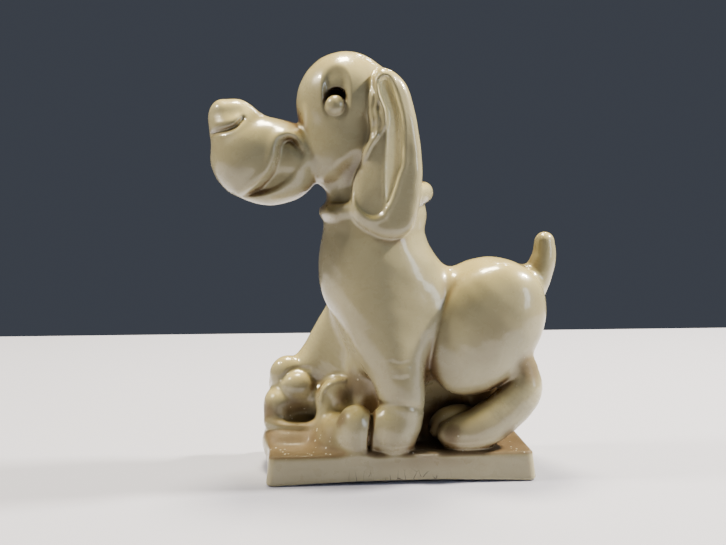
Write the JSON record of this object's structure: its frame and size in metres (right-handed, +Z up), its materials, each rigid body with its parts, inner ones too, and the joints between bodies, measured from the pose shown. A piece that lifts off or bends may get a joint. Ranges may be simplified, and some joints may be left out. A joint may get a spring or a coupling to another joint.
{
  "type": "ceramic dog figurine",
  "caption": "Glazed ceramic figurine of a sitting cartoon hound with long ears, a rolled collar and a raised forepaw, on an oblong plinth.",
  "frame": {"origin": "middle of the plinth's underside, on the surface that it stands on", "axes": "+Z is up, the dog's snout points along -X and its tail along +X, and +Y is the dog's right side"},
  "size_m": [0.1739, 0.06, 0.2086],
  "materials": {
    "plinth": "glossy crackle glaze",
    "rump": "glossy crackle glaze",
    "torso": "glossy crackle glaze",
    "head": "glossy crackle glaze",
    "neck": "glossy crackle glaze",
    "collar": "glossy crackle glaze",
    "muzzle": "glossy crackle glaze",
    "nose": "glossy crackle glaze",
    "jaw": "glossy crackle glaze",
    "tail": "glossy crackle glaze",
    "eye_left": "glossy crackle glaze",
    "eye_right": "glossy crackle glaze",
    "ear_left": "glossy crackle glaze",
    "ear_right": "glossy crackle glaze",
    "thigh_left": "glossy crackle glaze",
    "thigh_right": "glossy crackle glaze",
    "hind_foot_left": "glossy crackle glaze",
    "hind_foot_right": "glossy crackle glaze",
    "hind_toe_left": "glossy crackle glaze",
    "hind_toe_right": "glossy crackle glaze",
    "toe_left_outer": "glossy crackle glaze",
    "toe_left_inner": "glossy crackle glaze",
    "foreleg_left": "glossy crackle glaze",
    "toe_right_near": "glossy crackle glaze",
    "toe_right_middle": "glossy crackle glaze",
    "toe_right_far": "glossy crackle glaze",
    "paw_right": "glossy crackle glaze",
    "foreleg_right": "glossy crackle glaze",
    "ground_knob": "glossy crackle glaze",
    "ground_mound": "glossy crackle glaze",
    "mound_lump": "glossy crackle glaze",
    "belly_web": "glossy crackle glaze"
  },
  "bodies": {
    "root": {"plinth": "plinth", "rump": "rump", "torso": "torso", "head": "head", "neck": "neck", "collar": "collar", "muzzle": "muzzle", "nose": "nose", "jaw": "jaw", "tail": "tail", "eye_left": "eye_left", "eye_right": "eye_right", "ear_left": "ear_left", "ear_right": "ear_right", "thigh_left": "thigh_left", "thigh_right": "thigh_right", "hind_foot_left": "hind_foot_left", "hind_foot_right": "hind_foot_right", "hind_toe_left": "hind_toe_left", "hind_toe_right": "hind_toe_right", "toe_left_outer": "toe_left_outer", "toe_left_inner": "toe_left_inner", "foreleg_left": "foreleg_left", "toe_right_near": "toe_right_near", "toe_right_middle": "toe_right_middle", "toe_right_far": "toe_right_far", "paw_right": "paw_right", "foreleg_right": "foreleg_right", "ground_knob": "ground_knob", "ground_mound": "ground_mound", "mound_lump": "mound_lump", "belly_web": "belly_web"}
  },
  "joints": []
}
